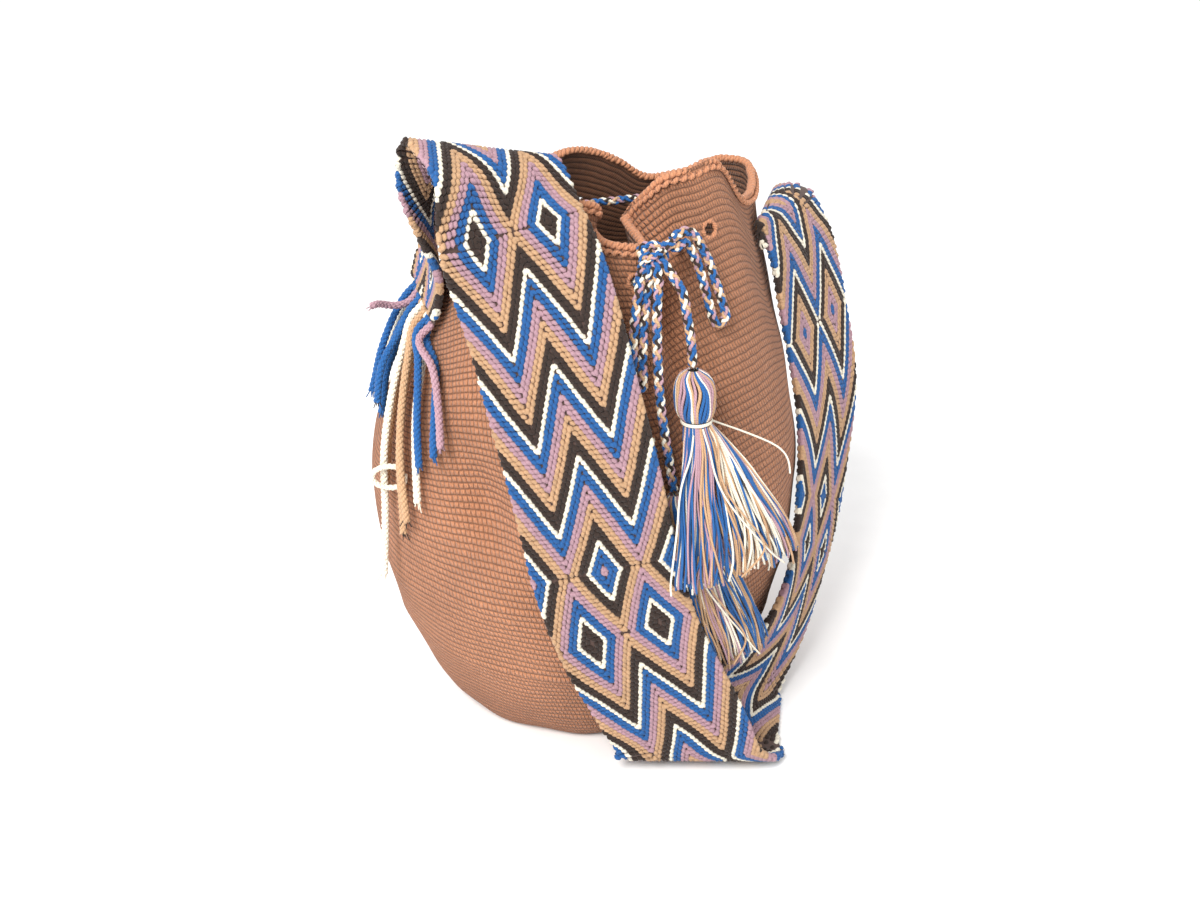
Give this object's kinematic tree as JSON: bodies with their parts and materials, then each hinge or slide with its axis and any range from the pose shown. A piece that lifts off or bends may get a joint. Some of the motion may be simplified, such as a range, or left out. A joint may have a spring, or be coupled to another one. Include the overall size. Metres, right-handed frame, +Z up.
{
  "type": "drawstring shoulder bag",
  "caption": "Round crocheted drawstring shoulder bag with a wide patterned strap, bow, tassels and strap fringe.",
  "frame": {"origin": "centre of the flat base, on the surface it stands on", "axes": "+Z up out of the mouth, -Y towards the drawstring bow, +X and -X towards the strap's two sewn ends"},
  "size_m": [0.3225, 0.2978, 0.3778],
  "materials": {
    "crochet_cotton": "matte single crochet in terracotta cotton",
    "strap_cotton": "matte braided cotton in blue, cream, mauve, tan and dark brown zigzags",
    "drawstring_cotton": "matte multicolour braided cotton cord",
    "tassel_cotton": "soft twisted cotton threads in five colours",
    "binding_cotton": "fine cream thread wound tight",
    "fringe_cotton": "plied cotton cords in blue, cream, mauve, tan and dark brown"
  },
  "bodies": {
    "bag": {"bag_body": "crochet_cotton", "shoulder_strap": "strap_cotton", "drawstring_run": "drawstring_cotton", "drawstring_knot": "drawstring_cotton", "drawstring_loop_left": "drawstring_cotton", "drawstring_loop_right": "drawstring_cotton", "drawstring_tail_rear": "drawstring_cotton", "tassel_rear": "tassel_cotton", "tassel_rear_binding": "binding_cotton", "fringe_cord_01": "fringe_cotton", "fringe_cord_02": "fringe_cotton", "fringe_cord_03": "fringe_cotton", "fringe_cord_04": "fringe_cotton", "fringe_cord_05": "fringe_cotton", "fringe_cord_06": "fringe_cotton", "fringe_cord_07": "fringe_cotton", "fringe_cord_08": "fringe_cotton", "fringe_cord_09": "fringe_cotton", "fringe_cord_10": "fringe_cotton", "fringe_cord_11": "fringe_cotton", "fringe_cord_12": "fringe_cotton", "fringe_cord_13": "fringe_cotton", "fringe_cord_14": "fringe_cotton"},
    "front_tassel": {"drawstring_tail_front": "drawstring_cotton", "tassel_front": "tassel_cotton", "tassel_front_binding": "binding_cotton"}
  },
  "joints": [
    {"name": "front_tassel_swing", "type": "hinge", "parent": "bag", "child": "front_tassel", "pos_m": [0.006, -0.1195, 0.3085], "axis": [-1, 0, 0], "range_deg": [0, 60]}
  ]
}
